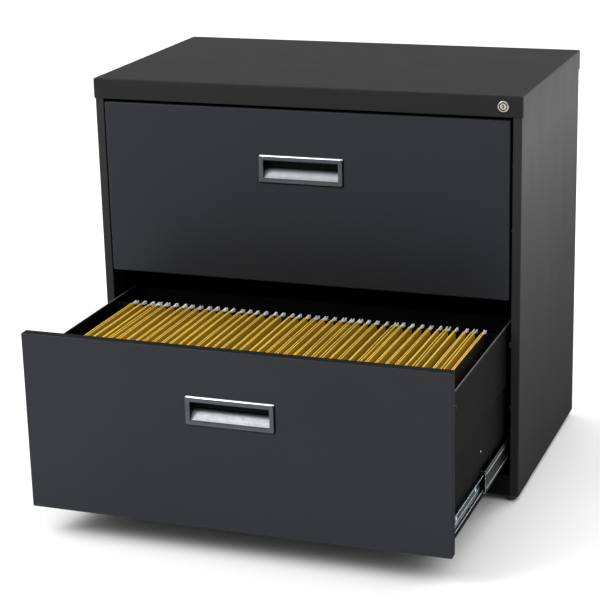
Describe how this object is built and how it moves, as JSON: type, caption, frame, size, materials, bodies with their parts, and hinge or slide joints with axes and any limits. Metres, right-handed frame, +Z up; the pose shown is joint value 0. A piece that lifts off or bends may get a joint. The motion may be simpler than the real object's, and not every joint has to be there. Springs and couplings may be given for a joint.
{
  "type": "lateral filing cabinet",
  "caption": "Steel lateral filing cabinet: wide drawers on ball slides, recessed pulls, a key lock and levelling feet; the lower drawer stands open with a row of hanging folders.",
  "frame": {"origin": "on the floor, under the middle of the whole assembly's box with the upper drawer closed and the lower drawer open", "axes": "+X to the cabinet's right seen from the front, +Y to the back, +Z up"},
  "size_m": [0.762, 0.8076, 0.705],
  "materials": {
    "charcoal_paint": "fine-textured powder coat, satin",
    "front_paint": "smooth powder coat, satin",
    "inner_paint": "thin black paint, matt",
    "zinc": "clear zinc plate",
    "bright_steel": "bright zinc plate",
    "cage_steel": "oiled steel",
    "nickel": "bright nickel plate",
    "brass": "machined",
    "pull_metal": "satin metallic grey",
    "folder_card": "mustard card, matt",
    "foot_plastic": "moulded black"
  },
  "bodies": {
    "cabinet": {"top_panel": "charcoal_paint", "side_panel_left": "charcoal_paint", "side_panel_right": "charcoal_paint", "back_panel": "charcoal_paint", "base_front_rail": "inner_paint", "base_rear_rail": "inner_paint", "base_panel": "inner_paint", "slide_post_front_left": "inner_paint", "slide_post_front_right": "inner_paint", "slide_post_rear_left": "inner_paint", "slide_post_rear_right": "inner_paint", "lock_bar_guide": "inner_paint", "upper_slide_cabinet_left": "zinc", "upper_slide_cabinet_right": "zinc", "lower_slide_cabinet_left": "zinc", "lower_slide_cabinet_right": "zinc", "lock_housing": "nickel", "lock_nut": "brass"},
    "upper_drawer": {"upper_drawer_front": "front_paint", "upper_front_liner": "front_paint", "upper_body_side_left": "charcoal_paint", "upper_body_side_right": "charcoal_paint", "upper_body_floor": "charcoal_paint", "upper_body_back": "charcoal_paint", "upper_hang_rail_front": "zinc", "upper_hang_rail_rear": "zinc", "upper_slide_drawer_left": "zinc", "upper_slide_drawer_right": "zinc", "upper_pull": "pull_metal"},
    "upper_slide_middles": {"upper_slide_middle_left": "bright_steel", "upper_slide_middle_right": "bright_steel"},
    "upper_outer_cages": {"upper_outer_cage_left": "cage_steel", "upper_outer_cage_right": "cage_steel"},
    "upper_inner_cages": {"upper_inner_cage_left": "cage_steel", "upper_inner_cage_right": "cage_steel"},
    "lower_drawer": {"lower_drawer_front": "front_paint", "lower_front_liner": "front_paint", "lower_body_side_left": "charcoal_paint", "lower_body_side_right": "charcoal_paint", "lower_body_floor": "charcoal_paint", "lower_body_back": "charcoal_paint", "lower_hang_rail_front": "zinc", "lower_hang_rail_rear": "zinc", "lower_slide_drawer_left": "zinc", "lower_slide_drawer_right": "zinc", "lower_pull": "pull_metal"},
    "lower_slide_middles": {"lower_slide_middle_left": "bright_steel", "lower_slide_middle_right": "bright_steel"},
    "lower_outer_cages": {"lower_outer_cage_left": "cage_steel", "lower_outer_cage_right": "cage_steel"},
    "lower_inner_cages": {"lower_inner_cage_left": "cage_steel", "lower_inner_cage_right": "cage_steel"},
    "lock": {"lock_plug": "nickel", "lock_cam": "zinc"},
    "lock_bar": {"lock_bar": "zinc"},
    "foot_front_left": {"foot_front_left": "foot_plastic"},
    "foot_front_right": {"foot_front_right": "foot_plastic"},
    "foot_rear_left": {"foot_rear_left": "foot_plastic"},
    "foot_rear_right": {"foot_rear_right": "foot_plastic"},
    "folder_row": {"hanging_folders": "folder_card"}
  },
  "joints": [
    {"name": "upper_drawer_slide", "type": "slide", "parent": "cabinet", "child": "upper_drawer", "axis": [0, -1, 0], "range_m": [0, 0.38]},
    {"name": "upper_slide_middles_run", "type": "slide", "parent": "cabinet", "child": "upper_slide_middles", "axis": [0, -1, 0], "range_m": [0, 0.19]},
    {"name": "upper_outer_cages_run", "type": "slide", "parent": "cabinet", "child": "upper_outer_cages", "axis": [0, -1, 0], "range_m": [0, 0.095]},
    {"name": "upper_inner_cages_run", "type": "slide", "parent": "cabinet", "child": "upper_inner_cages", "axis": [0, -1, 0], "range_m": [0, 0.285]},
    {"name": "lower_drawer_slide", "type": "slide", "parent": "cabinet", "child": "lower_drawer", "axis": [0, -1, 0], "range_m": [-0.353, 0.027]},
    {"name": "lower_slide_middles_run", "type": "slide", "parent": "cabinet", "child": "lower_slide_middles", "axis": [0, -1, 0], "range_m": [-0.1765, 0.0135]},
    {"name": "lower_outer_cages_run", "type": "slide", "parent": "cabinet", "child": "lower_outer_cages", "axis": [0, -1, 0], "range_m": [-0.08825, 0.00675]},
    {"name": "lower_inner_cages_run", "type": "slide", "parent": "cabinet", "child": "lower_inner_cages", "axis": [0, -1, 0], "range_m": [-0.26475, 0.02025]},
    {"name": "lock_turn", "type": "hinge", "parent": "cabinet", "child": "lock", "pos_m": [0.34832, -0.04425, 0.6875], "axis": [0, -1, 0], "range_deg": [0, 90]},
    {"name": "lock_bar_lift", "type": "slide", "parent": "cabinet", "child": "lock_bar", "axis": [0, 0, 1], "range_m": [0, 0.0121]},
    {"name": "foot_front_left_turn", "type": "hinge", "parent": "cabinet", "child": "foot_front_left", "pos_m": [-0.3625, -0.02575, 0], "axis": [0, 0, 1], "continuous": true},
    {"name": "foot_front_right_turn", "type": "hinge", "parent": "cabinet", "child": "foot_front_right", "pos_m": [0.3625, -0.02575, 0], "axis": [0, 0, 1], "continuous": true},
    {"name": "foot_rear_left_turn", "type": "hinge", "parent": "cabinet", "child": "foot_rear_left", "pos_m": [-0.3625, 0.38275, 0], "axis": [0, 0, 1], "continuous": true},
    {"name": "foot_rear_right_turn", "type": "hinge", "parent": "cabinet", "child": "foot_rear_right", "pos_m": [0.3625, 0.38275, 0], "axis": [0, 0, 1], "continuous": true},
    {"name": "folder_row_slide", "type": "slide", "parent": "lower_drawer", "child": "folder_row", "axis": [1, 0, 0], "range_m": [-0.03, 0.016]}
  ],
  "couplings": [
    {"joint": "upper_slide_middles_run", "follows": "upper_drawer_slide", "ratio": 0.5},
    {"joint": "upper_outer_cages_run", "follows": "upper_drawer_slide", "ratio": 0.25},
    {"joint": "upper_inner_cages_run", "follows": "upper_drawer_slide", "ratio": 0.75},
    {"joint": "lower_slide_middles_run", "follows": "lower_drawer_slide", "ratio": 0.5},
    {"joint": "lower_outer_cages_run", "follows": "lower_drawer_slide", "ratio": 0.25},
    {"joint": "lower_inner_cages_run", "follows": "lower_drawer_slide", "ratio": 0.75},
    {"joint": "lock_bar_lift", "follows": "lock_turn", "m_per_rad": 0.00765}
  ]
}
